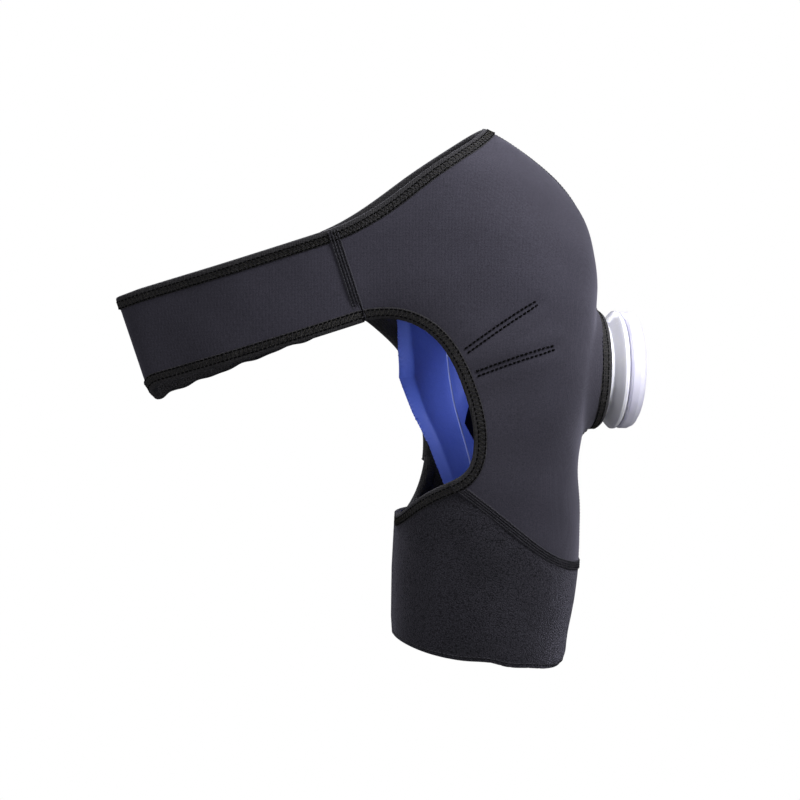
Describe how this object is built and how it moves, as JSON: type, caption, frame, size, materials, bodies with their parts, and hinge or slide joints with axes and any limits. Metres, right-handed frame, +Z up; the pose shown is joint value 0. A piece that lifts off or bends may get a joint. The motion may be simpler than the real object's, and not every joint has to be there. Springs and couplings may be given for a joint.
{
  "type": "cold compression shoulder wrap",
  "caption": "Neoprene wrap for a left shoulder with a bound edge, a chest strap, an upper-arm cuff and an ice bag whose screw cap stands out of a port on the outer side.",
  "frame": {"origin": "on the axis of the upper-arm cuff, in the plane of its hem", "axes": "+Z up the arm through the cuff, +X outwards from the shoulder on the side of the ice bag's cap, +Y to the wearer's back"},
  "size_m": [0.3384, 0.1285, 0.3447],
  "materials": {
    "neoprene": "smooth knitted face, matte",
    "loop_cloth": "brushed loop pile",
    "binding_tape": "woven tape with zigzag stitching",
    "hook_tape": "fields of small hooks",
    "bag_cloth": "coated, slightly shiny",
    "clear_plastic": "translucent, polished",
    "band_plastic": "satin",
    "white_plastic": "satin, slightly translucent",
    "gasket_rubber": "matte"
  },
  "bodies": {
    "root": {"front_panel": "neoprene", "back_panel": "neoprene", "port_binding": "binding_tape", "neck_binding": "binding_tape", "front_armhole_binding": "binding_tape", "back_armhole_binding": "binding_tape", "strap_front": "neoprene", "strap_landing": "loop_cloth", "cuff_front": "loop_cloth", "cuff_back": "loop_cloth", "ice_bag": "bag_cloth", "bag_collar": "clear_plastic", "clamp_ring": "band_plastic"},
    "strap_tail": {"strap_tail": "neoprene", "tail_binding": "binding_tape", "strap_hook_patch": "hook_tape"},
    "cuff_flap": {"cuff_flap": "loop_cloth", "cuff_hook_patch": "hook_tape"},
    "cap_seal": {"cap_gasket": "gasket_rubber"},
    "cap": {"cap_shell": "white_plastic"}
  },
  "joints": [
    {"name": "strap_release", "type": "hinge", "parent": "root", "child": "strap_tail", "pos_m": [-0.2263, 0, 0.2062], "axis": [-0.309, 0, 0.9511], "range_deg": [0, 100]},
    {"name": "cuff_release", "type": "hinge", "parent": "root", "child": "cuff_flap", "pos_m": [-0.06, 0, 0], "axis": [0, 0, 1], "range_deg": [0, 80]},
    {"name": "cap_rise", "type": "slide", "parent": "root", "child": "cap_seal", "axis": [0.997, 0.0697, -0.0349], "range_m": [0, 0.0105]},
    {"name": "cap_turn", "type": "hinge", "parent": "cap_seal", "child": "cap", "pos_m": [0.09471, 0.00662, 0.18349], "axis": [0.997, 0.0697, -0.0349], "range_deg": [0, 1260]}
  ],
  "couplings": [
    {"joint": "cap_rise", "follows": "cap_turn", "m_per_rad": 0.00047746}
  ]
}
